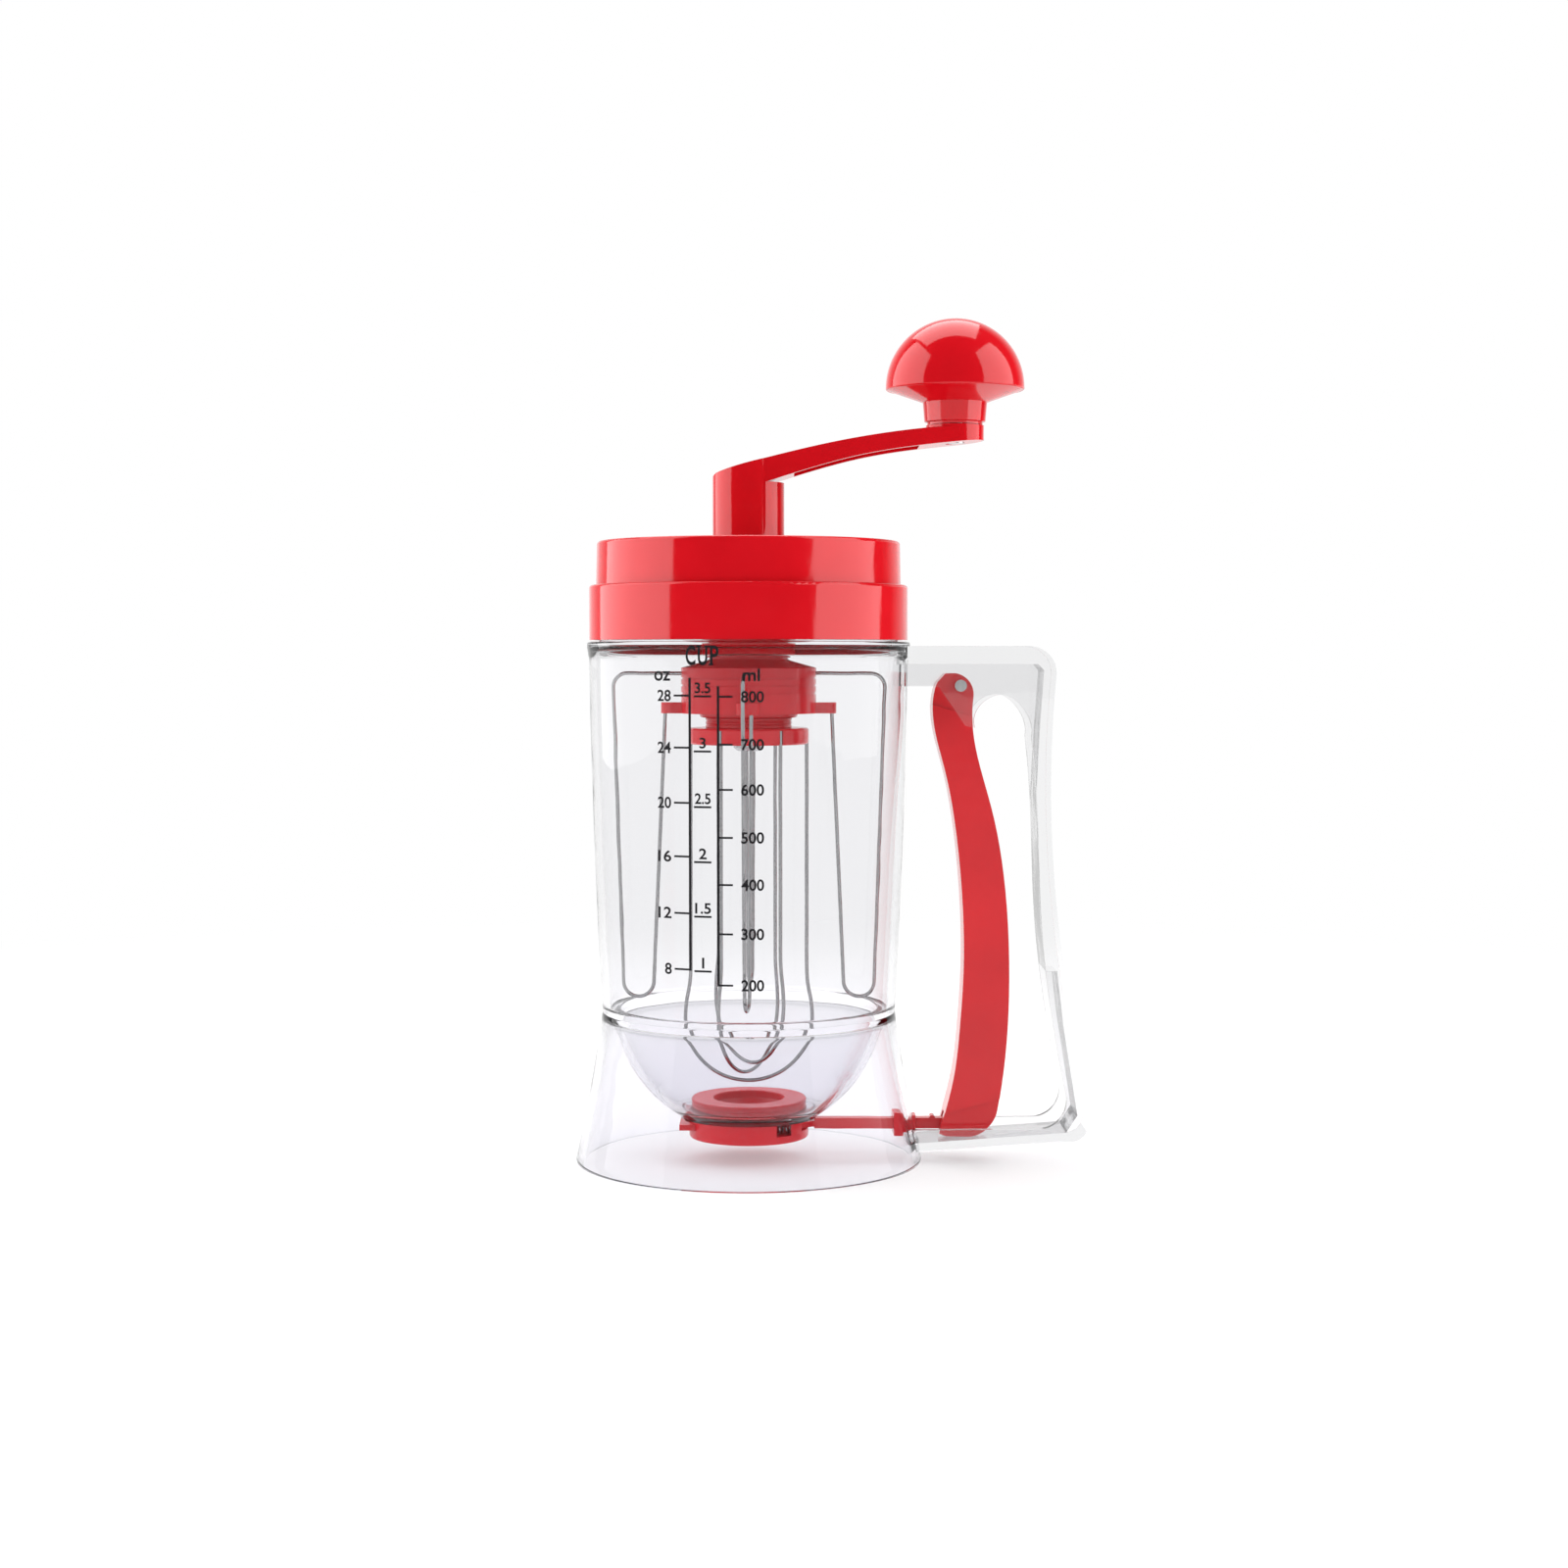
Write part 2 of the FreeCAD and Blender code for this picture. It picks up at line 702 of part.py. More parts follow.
def gear_wire(teeth, tip, root, play, z):
    """Outline of a spur gear, one tooth centred on +X; play thins each tooth, in mm at the pitch circle."""
    pitch = MODULE * teeth / 2
    base = pitch * math.cos(PRESSURE_ANGLE)
    half_tooth = math.pi / (2 * teeth) - play / (2 * pitch)
    start = max(base, root)
    steps = 4
    radii = [start + (tip - start) * i / steps for i in range(steps + 1)]
    flank = [(r, half_tooth + involute(base, pitch) - involute(base, r)) for r in radii]
    if root < base:
        flank.insert(0, (root, flank[0][1]))
    corners = []
    for i in range(teeth):
        middle = 2 * math.pi * i / teeth
        corners += [(r, middle - a) for r, a in flank]
        corners += [(r, middle + a) for r, a in reversed(flank)]
    points = [vec(r * math.cos(a), r * math.sin(a), z) for r, a in corners]
    return Part.makePolygon(points + [points[0]])


def gear(teeth, tip, root, play):
    outline = gear_wire(teeth, tip, root, play, GEAR_LOW_Z)
    return Part.Face(outline).extrude(vec(0, 0, GEAR_HIGH_Z - GEAR_LOW_Z))


def planet_gear(index):
    """A planet whose tooth space faces the sun's tooth at rest."""
    blank = spun(gear(PLANET_TEETH, 6.9, 4.75, BACKLASH), 180 / PLANET_TEETH)
    blank = blank.cut(rod(PIN_R + RUNNING_GAP, 0, 0, GEAR_LOW_Z, GEAR_HIGH_Z))
    return planet_positions(blank)[index]


def crank_shaft():
    """One moulded shaft: square drive on top, journal, sun teeth and the lower spindle."""
    journal = rod(SHAFT_R, 0, 0, GEAR_HIGH_Z, 198.4)
    drive = block(-3.4, 3.4, -3.4, 3.4, 198.4, 214.0)
    spindle = rod(SHAFT_LOW_R, 0, 0, HUB_LOW_Z, GEAR_LOW_Z)
    sun = gear(SUN_TEETH, 6.9, 4.75, BACKLASH)
    thread = rod(1.5, 0, 0, HUB_LOW_Z, 146.0)
    return journal.fuse([drive, spindle, sun]).cut(thread)


# Drum and paddles


def drum_cap():
    """Neck and cone that run on the carrier's stem and rest on its plate."""
    bore = STEM_R + RUNNING_GAP
    return turned(
        [
            (bore, 158.4),
            (14.8, 158.4),
            (19.4, DRUM_HIGH_Z),
            (DRUM_R, DRUM_HIGH_Z),
            (DRUM_R, 157.9),
            (13.2, 160.6),
            (12.6, 161.2),
            (12.6, 162.2),
            (13.4, 162.6),
            (13.4, 163.5),
            (13.1, 163.7),
            (bore, 163.7),
        ]
    )


def drum_ring():
    """Drum wall with the ring gear inside, three grooves outside and a socket for each paddle wire."""
    wall = rod(DRUM_R, 0, 0, DRUM_LOW_Z, DRUM_HIGH_Z)
    cavity = Part.Face(gear_wire(RING_TEETH, 19.2, 17.4, -BACKLASH, DRUM_LOW_Z))
    cavity = spun(cavity.extrude(vec(0, 0, DRUM_HIGH_Z - DRUM_LOW_Z)), 180 / RING_TEETH)
    grooves = [tube(DRUM_R + 1, DRUM_R - 0.35, z, z + 0.6) for z in (149.4, 151.9, 154.2)]
    sockets = [paddle(i) for i in range(PADDLE_COUNT)]
    return wall.cut([cavity] + grooves).cut(sockets)


def drum_floor():
    """Closes the drum from below; four tabs hold the paddles' inner legs."""
    disc = turned(
        [
            (SHAFT_LOW_R + RUNNING_GAP, 142.0),
            (15.2, 142.0),
            (15.6, 142.4),
            (15.6, DRUM_FLOOR_Z),
            (DRUM_R, DRUM_FLOOR_Z),
            (DRUM_R, DRUM_LOW_Z),
            (SHAFT_LOW_R + RUNNING_GAP, DRUM_LOW_Z),
        ]
    )
    tab = block(18.0, TAB_REACH - 3.5, -3.5, 3.5, DRUM_FLOOR_Z, TAB_TOP_Z)
    tip = rod(3.5, TAB_REACH - 3.5, 0, DRUM_FLOOR_Z, TAB_TOP_Z)
    tabs = [spun(tab.fuse(tip), 90 * i) for i in range(PADDLE_COUNT)]
    sockets = [paddle(i) for i in range(PADDLE_COUNT)]
    return disc.fuse(tabs).cut(sockets)


def paddle(index):
    """Wire loop: out of the drum, down beside the jar wall, round and back up to the tab."""
    corner = 4.5
    bend = 5.0
    low_out = 40.4
    low_in = low_out - 2 * bend
    turn_z = PADDLE_LOW_Z + WIRE_R + bend
    slant = (PADDLE_OUT_R - low_out) / (PADDLE_TOP_Z - turn_z)
    soft = corner * (1 - math.sqrt(0.5))
    start = vec(20.2, 0, PADDLE_TOP_Z)
    bend_start = vec(PADDLE_OUT_R - corner, 0, PADDLE_TOP_Z)
    bend_end = vec(PADDLE_OUT_R, 0, PADDLE_TOP_Z - corner)
    outer_foot = vec(low_out, 0, turn_z)
    bottom = vec(low_out - bend, 0, turn_z - bend - bend * slant)
    inner_foot = vec(low_in, 0, turn_z)
    top = vec(PADDLE_IN_R, 0, 145.6)
    edges = [
        line(start, bend_start),
        arc(bend_start, vec(PADDLE_OUT_R - soft, 0, PADDLE_TOP_Z - soft), bend_end),
        line(bend_end, outer_foot),
        arc(outer_foot, bottom, inner_foot),
        line(inner_foot, top),
    ]
    loop = swept(edges, WIRE_R)
    loop.rotate(vec(PADDLE_PIVOT_R, 0, 0), Z_AXIS, PADDLE_SKEW)
    return spun(loop, 360 * index / PADDLE_COUNT)


# Inner whisk


def whisk_wire(index):
    """One loop of the balloon whisk: two legs, a slight bulge and a round bottom."""
    bulge_z = BULGE_Z + LOOP_STAGGER * index
    neck_z = bulge_z + BULGE_RISE
    middle_r = (LEG_R + BULGE_R) / 2
    middle_z = (bulge_z + neck_z) / 2
    swell = (BULGE_RISE**2 + (BULGE_R - LEG_R) ** 2) / (4 * (BULGE_R - LEG_R))
    quarter = math.asin(BULGE_RISE / 2 / swell) / 2
    drop = swell * math.sin(quarter)
    shift = swell * (1 - math.cos(quarter))

    def side(sign):
        leg = line(vec(sign * LEG_R, 0, HUB_HIGH_Z - 0.6), vec(sign * LEG_R, 0, neck_z))
        upper = arc(
            vec(sign * LEG_R, 0, neck_z),
            vec(sign * (LEG_R + shift), 0, neck_z - drop),
            vec(sign * middle_r, 0, middle_z),
        )
        lower = arc(
            vec(sign * middle_r, 0, middle_z),
            vec(sign * (BULGE_R - shift), 0, bulge_z + drop),
            vec(sign * BULGE_R, 0, bulge_z),
        )
        return [leg, upper, lower]

    bottom = arc(vec(BULGE_R, 0, bulge_z), vec(0, 0, bulge_z - BULGE_R), vec(-BULGE_R, 0, bulge_z))
    loop = swept(side(1) + [bottom] + side(-1)[::-1], WIRE_R)
    return spun(loop, LOOP_PHASE + 180 * index / LOOP_COUNT)


def whisk_hub():
    """Disc whose rim grips the six legs of the whisk."""
    disc = turned(
        [
            (SHAFT_LOW_R, HUB_LOW_Z),
            (HUB_R - 0.5, HUB_LOW_Z),
            (HUB_R, HUB_LOW_Z + 0.5),
            (HUB_R, HUB_HIGH_Z - 0.5),
            (HUB_R - 0.5, HUB_HIGH_Z),
            (SHAFT_LOW_R, HUB_HIGH_Z),
        ]
    )
    notch = rod(WIRE_R, LEG_R, 0, HUB_LOW_Z, HUB_HIGH_Z - 0.6)
    mouth = block(LEG_R, HUB_R + 1, -WIRE_R, WIRE_R, HUB_LOW_Z, HUB_HIGH_Z - 0.6)
    cuts = [spun(notch.fuse(mouth), LOOP_PHASE + 60 * i) for i in range(2 * LOOP_COUNT)]
    return disc.cut(cuts)


def whisk_collar():
    """Spacer between the whisk hub and the drum, grooved round its side."""
    points = [(SHAFT_LOW_R, HUB_HIGH_Z), (COLLAR_R, HUB_HIGH_Z)]
    groove_count = 2
    pitch = (COLLAR_HIGH_Z - HUB_HIGH_Z) / (groove_count + 1)
    for i in range(groove_count):
        z = HUB_HIGH_Z + pitch * (i + 1)
        points += [(COLLAR_R, z - 0.25), (COLLAR_R - 0.4, z), (COLLAR_R, z + 0.25)]
    points += [(COLLAR_R, COLLAR_HIGH_Z), (SHAFT_LOW_R, COLLAR_HIGH_Z)]
    return turned(points)


def hub_screw():
    """Pan-head screw up into the shaft's lower end."""
    low = HUB_LOW_Z - 2.2
    head = turned([(0, low), (3.6, low), (4.8, low + 1.0), (4.8, HUB_LOW_Z), (0, HUB_LOW_Z)])
    shank = rod(1.5, 0, 0, HUB_LOW_Z, 145.0)
    slots = [block(-2.4, 2.4, -0.5, 0.5, low, low + 1.2), block(-0.5, 0.5, -2.4, 2.4, low, low + 1.2)]
    return head.fuse(shank).cut(slots)


# Crank arm and knob


def arm_plan(half_root, half_tip, start, end):
    """Tapered plan of the arm between two distances from the shaft, as a tall solid."""
    sides = [(start, -half_root), (end, -half_tip), (end, half_tip), (start, half_root)]
    corners = [vec(x, y, BOSS_LOW_Z) for x, y in sides]
    return Part.Face(Part.makePolygon(corners + [corners[0]])).extrude(vec(0, 0, 50))


def crank_arm():
    """Round boss on the shaft, and an arm, hollow underneath, that rises to the knob's seat."""
    boss_top = 215.4
    tip_x = ARM_REACH + ARM_END_R
    low = BOSS_LOW_Z
    top = [(-10.2, 219.4), (-5.3, 220.9), (6.3, 224.0), (26.3, 228.7), (44.8, 231.9), (60.0, 233.6)]
    under = [(tip_x, 229.9), (56.7, 228.1), (36.0, 224.9), (18.5, 220.3), (3.0, boss_top)]
    outline = profile([under[-1], (-BOSS_R, boss_top), (-BOSS_R, 218.4), top[0]])
    outline.append(spline([vec(x, 0, z) for x, z in top]))
    outline += profile([top[-1], (tip_x, 234.0), under[0]])
    outline.append(spline([vec(x, 0, z) for x, z in under]))
    plan = [arm_plan(10.2, ARM_END_R, 0, ARM_REACH), rod(ARM_END_R, ARM_REACH, 0, low, low + 50)]
    arm = slab(outline, 15).common(rod(BOSS_R, 0, 0, low, low + 50).fuse(plan))
    roof = [(x, z - ARM_WALL) for x, z in top[2:]]
    hollow = profile([roof[-1], (60.0, 216.0), (6.3, 212.0), roof[0]])
    hollow.append(spline([vec(x, 0, z) for x, z in roof]))
    channel = slab(hollow, 15).common(arm_plan(10.0 - ARM_WALL, ARM_END_R - ARM_WALL, 14.5, 54.0))
    seat = rod(ARM_END_R, ARM_REACH, 0, 231.0, ARM_END_TOP_Z)
    boss = rod(BOSS_R, 0, 0, low, boss_top + 1)
    square = block(-3.4, 3.4, -3.4, 3.4, low, 214.0)
    clearance = rod(SHAFT_R + 0.2, 0, 0, low, 198.4)
    axle_hole = rod(KNOB_AXLE_R, ARM_REACH, 0, KNOB_AXLE_LOW_Z - 2, ARM_END_TOP_Z)
    return arm.cut(channel).fuse([seat, boss]).cut([square, clearance, axle_hole])


def knob_axle():
    """Axle pressed into the arm's end; the knob snaps over its head."""
    return turned_at(
        [
            (0, KNOB_AXLE_LOW_Z),
            (KNOB_AXLE_R, KNOB_AXLE_LOW_Z),
            (KNOB_AXLE_R, 249.2),
            (4.0, 250.2),
            (4.0, 251.4),
            (2.4, 253.0),
            (0, 253.0),
        ],
        ARM_REACH,
    )


def knob():
    """Mushroom knob with a grooved neck and a domed top."""
    top = KNOB_RIM_Z + KNOB_RIM_R
    diagonal = KNOB_RIM_R * math.sqrt(0.5)
    bore = KNOB_AXLE_R + RUNNING_GAP
    return turned_at(
        [
            (bore, 234.8),
            (KNOB_NECK_R - 0.9, 234.8),
            (KNOB_NECK_R - 0.9, 235.5),
            (KNOB_NECK_R, 235.8),
            (KNOB_NECK_R + 0.5, 241.9),
            (KNOB_RIM_R - 0.8, KNOB_RIM_Z - 0.6),
            [KNOB_RIM_R - 0.15, KNOB_RIM_Z - 0.5],
            (KNOB_RIM_R, KNOB_RIM_Z),
            [diagonal, KNOB_RIM_Z + diagonal],
            (0, top),
            (0, 253.6),
            (4.4, 253.6),
            (4.4, 249.0),
            (bore, 248.6),
        ],
        ARM_REACH,
    )


pieces = {
    "jar_wall": jar_wall(),
    "jar_bowl": jar_bowl(),
    "base_skirt": base_skirt(),
    "handle_frame": handle_frame(),
    "pivot_pin": pivot_pin(),
    "valve_collar": valve_collar(),
    "gate_seal": gate_seal(),
    "valve_housing": valve_housing(),
    "rod_guide": rod_guide(),
    "return_spring": return_spring(),
    "gate_plate": gate_plate(),
    "pull_rod": pull_rod(),
    "rod_pin": rod_pin(),
    "trigger_lever": trigger_lever(),
    "lid_ring": lid_ring(),
    "lid_cover": lid_cover(),
    "cover_screws": cover_screws(),
    "lid_gasket": lid_gasket(),
    "shaft_bush": shaft_bush(),
    "gear_carrier": gear_carrier(),
    "planet_pins": planet_pins(),
    "crank_shaft": crank_shaft(),
    "drum_cap": drum_cap(),
    "drum_ring": drum_ring(),
    "drum_floor": drum_floor(),
    "whisk_hub": whisk_hub(),
    "whisk_collar": whisk_collar(),
    "hub_screw": hub_screw(),
    "crank_arm": crank_arm(),
    "knob_axle": knob_axle(),
    "knob": knob(),
}
for i in range(PLANET_COUNT):
    pieces[f"planet_gear_{i + 1}"] = planet_gear(i)
for i in range(PADDLE_COUNT):
    pieces[f"paddle_wire_{i + 1}"] = paddle(i)
for i in range(LOOP_COUNT):
    pieces[f"whisk_wire_{i + 1}"] = whisk_wire(i)

os.makedirs("parts", exist_ok=True)
for name, shape in pieces.items():
    if not shape.isValid():
        print("not valid:", name)
    shape.exportStep(f"parts/{name}.step")
print(len(pieces), "pieces written")
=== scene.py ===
import json
import math
import bmesh
import bpy
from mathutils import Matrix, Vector


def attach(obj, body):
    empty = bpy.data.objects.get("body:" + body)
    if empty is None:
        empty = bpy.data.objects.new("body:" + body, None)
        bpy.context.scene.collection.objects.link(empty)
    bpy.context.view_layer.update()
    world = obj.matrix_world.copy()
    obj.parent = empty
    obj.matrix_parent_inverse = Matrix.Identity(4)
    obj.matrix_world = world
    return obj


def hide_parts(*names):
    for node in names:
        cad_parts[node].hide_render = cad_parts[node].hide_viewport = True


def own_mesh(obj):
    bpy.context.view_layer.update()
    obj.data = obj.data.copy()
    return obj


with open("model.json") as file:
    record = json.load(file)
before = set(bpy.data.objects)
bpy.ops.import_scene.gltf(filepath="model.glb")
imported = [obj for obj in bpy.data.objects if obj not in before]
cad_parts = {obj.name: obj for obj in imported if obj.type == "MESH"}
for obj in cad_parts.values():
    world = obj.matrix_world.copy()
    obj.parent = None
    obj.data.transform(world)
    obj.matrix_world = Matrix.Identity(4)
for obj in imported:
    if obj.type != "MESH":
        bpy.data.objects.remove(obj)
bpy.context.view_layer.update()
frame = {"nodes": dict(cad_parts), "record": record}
nodes = frame["nodes"]
scene = bpy.context.scene
body_of = {n: body for body, held in frame["record"]["behaviour"]["bodies"].items() for n in held}
MM = 0.001

# The room round the dispenser. A white cyclorama behind it, a dark room in front of it that leaves
# the middle of each glossy piece its own full colour, and plain grey light from all round.
scene.view_settings.view_transform = "Standard"


def empty_tree(holder):
    holder.use_nodes = True
    holder.node_tree.nodes.clear()
    return holder.node_tree


def add(tree, kind, inputs=None, **settings):
    """Adds one shader node; inputs gives an input a number, a colour or another node's output."""
    node = tree.nodes.new("ShaderNode" + kind)
    for name, value in settings.items():
        setattr(node, name, value)
    for name, value in (inputs or {}).items():
        if isinstance(value, bpy.types.NodeSocket):
            tree.links.new(value, node.inputs[name])
        else:
            node.inputs[name].default_value = value
    return node


room = bpy.data.worlds.new("white_room")
scene.world = room
tree = empty_tree(room)
ray = add(tree, "LightPath").outputs
straight = {0: ray["Is Camera Ray"], 1: ray["Is Transmission Ray"]}
looked_at = add(tree, "Math", straight, operation="MAXIMUM")
inside_clear = add(tree, "Math", {0: ray["Transmission Depth"], 1: 0.5}, operation="GREATER_THAN")
way = add(tree, "SeparateXYZ", {0: add(tree, "TexCoord").outputs["Generated"]})
fade = add(tree, "ValToRGB", {0: way.outputs["Y"]})
fade.color_ramp.elements[0].position = 0.55
fade.color_ramp.elements[0].color = (0.05, 0.05, 0.05, 1)
fade.color_ramp.elements[1].position = 0.95
fade.color_ramp.elements[1].color = (1, 1, 1, 1)
mirrored = add(tree, "Background", {"Color": fade.outputs[0]})
pale = add(tree, "Background", {"Color": (0.82, 0.82, 0.84, 1)})
white = add(tree, "Background", {"Color": (1, 1, 1, 1)})
grey = add(tree, "Background", {"Color": (0.42, 0.42, 0.42, 1)})
glossy = add(tree, "MixShader", {0: inside_clear.outputs[0], 1: mirrored.outputs[0], 2: pale.outputs[0]})
lit = add(tree, "MixShader", {0: ray["Is Glossy Ray"], 1: grey.outputs[0], 2: glossy.outputs[0]})
seen = add(tree, "MixShader", {0: looked_at.outputs[0], 1: lit.outputs[0], 2: white.outputs[0]})
add(tree, "OutputWorld", {"Surface": seen.outputs[0]})


# Soft lights. Two tall softboxes stand at the sides and give the long pale bands down the lid and
# the knob; a third hangs above and a little behind, and lights the top of the knob's dome.
def softbox(name, place, turn, width, height, brightness):
    lamp = bpy.data.lights.new(name, "AREA")
    lamp.shape = "RECTANGLE"
    lamp.size = width
    lamp.size_y = height
    lamp.energy = brightness * math.pi * width * height
    stand = bpy.data.objects.new(name, lamp)
    stand.location = place
    stand.rotation_euler = turn
    stand.visible_camera = False
    stand.visible_transmission = False
    scene.collection.objects.link(stand)


BRIGHTNESS = 2.6
SIDE_DISTANCE = 1.1
SIDE_MIDDLE_Z = 0.9
SIDE_TALL = 1.7
TOP_PLACE = (-0.07, 0.67, 1.30)
for name, angle, width in (("softbox_left", -93.5, 1.69), ("softbox_right", 77.0, 1.27)):
    turn = math.radians(angle)
    place = (SIDE_DISTANCE * math.sin(turn), -SIDE_DISTANCE * math.cos(turn), SIDE_MIDDLE_Z)
    softbox(name, place, (math.radians(90), 0, turn), width, SIDE_TALL, BRIGHTNESS)
softbox("softbox_top", TOP_PLACE, (0, 0, 0), 1.15, 1.37, BRIGHTNESS)

# Camera, level with the jar's rim, 820 mm in front of its axis, looking a little down.
lens = bpy.data.cameras.new("camera")
lens.sensor_width = 36
lens.lens = 58.9
camera = bpy.data.objects.new("camera", lens)
camera.location = (0.0113, -0.820, 0.1613)
camera.rotation_euler = (math.radians(87.16), 0, 0)
scene.collection.objects.link(camera)
scene.camera = camera

# Table top. A pale matt sheet that keeps the soft shadow by the foot of the jar and turns into
# the white of the room further off.
sheet = bpy.data.meshes.new("table_top")
bm = bmesh.new()
bmesh.ops.create_circle(bm, cap_ends=True, segments=96, radius=9.0)
bm.to_mesh(sheet)
bm.free()
table = bpy.data.objects.new("table_top", sheet)
scene.collection.objects.link(table)
paper = bpy.data.materials.new("white_sweep")
tree = empty_tree(paper)
ray = add(tree, "LightPath").outputs
direct = add(tree, "Math", {0: ray["Is Camera Ray"], 1: ray["Is Transmission Ray"]}, operation="MAXIMUM")
direct = add(tree, "Math", {0: direct.outputs[0], 1: ray["Is Glossy Ray"]}, operation="MAXIMUM")
away = add(tree, "VectorMath", {0: add(tree, "TexCoord").outputs["Object"]}, operation="LENGTH")
share = add(
    tree,
    "MapRange",
    {"Value": away.outputs["Value"], "From Min": 0.12, "From Max": 0.75, "To Min": 0.30, "To Max": 1.0},
    interpolation_type="SMOOTHSTEP",
)
glow = add(tree, "Math", {0: share.outputs[0], 1: direct.outputs[0]}, operation="MULTIPLY")
matt = add(tree, "BsdfDiffuse", {"Color": (0.90, 0.90, 0.90, 1)})
light = add(tree, "Emission", {"Color": (1, 1, 1, 1), "Strength": 1.0})
top = add(tree, "MixShader", {0: glow.outputs[0], 1: matt.outputs[0], 2: light.outputs[0]})
add(tree, "OutputMaterial", {"Surface": top.outputs[0]})
sheet.materials.append(paper)


# Clear body. Jar, round-bottomed bowl and flared skirt, moulded in clear styrene and welded at the
# waist, so they look like one piece. One outline is turned about the jar's axis.
WAIST_Z = 48.0
LEDGE_Z = 49.6
BOWL_CENTRE_Z = 51.6
BOWL_OUT_R = 43.2
BOWL_IN_R = 41.0


def clear_plastic(name, upper, lower, waves, bend, painted_rim_shade):
    """Clear styrene: a faint tint, deeper at the foot, painted shade that darkens it where it is seen
    edge on, and a slightly uneven surface.
    """
    material = bpy.data.materials.new(name)
    tree = empty_tree(material)
    place = add(tree, "TexCoord").outputs["Object"]
    height = add(tree, "SeparateXYZ", {0: place}).outputs["Z"]
    climb = add(tree, "MapRange", {"Value": height, "From Min": 0.02, "From Max": 0.07})
    cloud = add(tree, "TexNoise", {"Vector": place, "Scale": 30.0, "Detail": 2.0, "Roughness": 0.4})
    patch = add(tree, "MapRange", {"Value": cloud.outputs[0], "To Min": -0.22, "To Max": 0.22})
    depth = {0: climb.outputs[0], 1: patch.outputs[0]}
    blend = add(tree, "Math", depth, operation="ADD", use_clamp=True)
    tint = add(tree, "ValToRGB", {0: blend.outputs[0]})
    tint.color_ramp.elements[0].color = (*lower, 1)
    tint.color_ramp.elements[1].color = (*upper, 1)
    # Painted shade: the colour darkens where the surface is seen edge on, which draws dark lines along
    # the rims and silhouettes.
    slant = add(tree, "LayerWeight", {"Blend": 0.5}).outputs["Facing"]
    edge_on_painted_shade = add(tree, "MapRange", {"Value": slant, "From Min": 0.55, "From Max": 0.95})
    painted_edge_shade = {0: edge_on_painted_shade.outputs[0], 6: tint.outputs[0], 7: (painted_rim_shade, painted_rim_shade, painted_rim_shade, 1)}
    body = add(tree, "Mix", painted_edge_shade, data_type="RGBA", blend_type="MULTIPLY")
    flow = add(tree, "TexNoise", {"Vector": place, "Scale": 75.0, "Detail": 1.0})
    scuff = add(tree, "TexNoise", {"Vector": place, "Scale": 420.0, "Detail": 4.0, "Distortion": 1.5})
    worn = {"Value": scuff.outputs[0], "From Min": 0.55, "From Max": 0.8, "To Max": 0.09}
    haze = add(tree, "MapRange", worn)
    wave = add(tree, "Bump", {"Height": flow.outputs[0], "Strength": waves, "Distance": 0.0004})
    glass = add(
        tree,
        "BsdfPrincipled",
        {
            "Base Color": body.outputs[2],
            "Roughness": haze.outputs[0],
            "IOR": bend,
            "Transmission Weight": 1.0,
            "Normal": wave.outputs[0],
        },
    )
    lets_light = add(tree, "BsdfTransparent", {"Color": (0.95, 0.95, 0.96, 1)})
    shadow = add(tree, "LightPath").outputs["Is Shadow Ray"]
    both = add(tree, "MixShader", {0: shadow, 1: glass.outputs[0], 2: lets_light.outputs[0]})
    add(tree, "OutputMaterial", {"Surface": both.outputs[0]})
    return material


def arc_points(a, b, c, steps):
    """Points along the arc from a through b to c, without the last one."""
    (ax, ay), (bx, by), (cx, cy) = a, b, c
    d = 2 * (ax * (by - cy) + bx * (cy - ay) + cx * (ay - by))
    ux = ((ax**2 + ay**2) * (by - cy) + (bx**2 + by**2) * (cy - ay) + (cx**2 + cy**2) * (ay - by)) / d
    uy = ((ax**2 + ay**2) * (cx - bx) + (bx**2 + by**2) * (ax - cx) + (cx**2 + cy**2) * (bx - ax)) / d
    start = math.atan2(ay - uy, ax - ux)
    end = math.atan2(cy - uy, cx - ux)
    sweep = (end - start + math.pi) % math.tau - math.pi
    radius = math.hypot(ax - ux, ay - uy)
    turns = [start + sweep * i / steps for i in range(steps)]
    return [(ux + radius * math.cos(t), uy + radius * math.sin(t)) for t in turns]


def corner(before, at, after, radius, steps=5):
    """Points of the round corner that a mould leaves between two straight runs."""
    at = Vector(at)
    to_a = (Vector(before) - at).normalized()
    to_b = (Vector(after) - at).normalized()
    half = to_a.angle(to_b) / 2
    reach = radius / math.tan(half)
    first = at + to_a * reach
    last = at + to_b * reach
    middle = at + (to_a + to_b).normalized() * (radius / math.sin(half) - radius)
    return arc_points(first, middle, last, steps) + [tuple(last)]


def rounded_outline(points, radius):
    """A closed outline with every corner of the given points rounded."""
    out = []
    for i, here in enumerate(points):
        before, after = points[i - 1], points[(i + 1) % len(points)]
        out += corner(before, here[:2], after, here[2] if len(here) > 2 else radius)
    return out


def lathe(name, outline, segments=192):
    """Turns a closed outline of (radius, height) points in millimetres about the jar's axis."""
    mesh = bpy.data.meshes.new(name)
    bm = bmesh.new()
    rings = []
    for i in range(segments):
        turn = math.tau * i / segments
        c, s = math.cos(turn) * MM, math.sin(turn) * MM
        rings.append([bm.verts.new((r * c, r * s, z * MM)) for r, z in outline])
    count = len(outline)
    for i in range(segments):
        near, far = rings[i], rings[(i + 1) % segments]
        for j in range(count):
            k = (j + 1) % count
            bm.faces.new((near[j], far[j], far[k], near[k])).smooth = True
    bmesh.ops.recalc_face_normals(bm, faces=bm.faces)
    bm.to_mesh(mesh)
    bm.free()
    piece = bpy.data.objects.new(name, mesh)
    scene.collection.objects.link(piece)
    return piece


def even_shading(piece):
    """Keeps flat faces flat beside their rounded edges."""
    weights = piece.modifiers.new("even_shading", "WEIGHTED_NORMAL")
    weights.keep_sharp = True


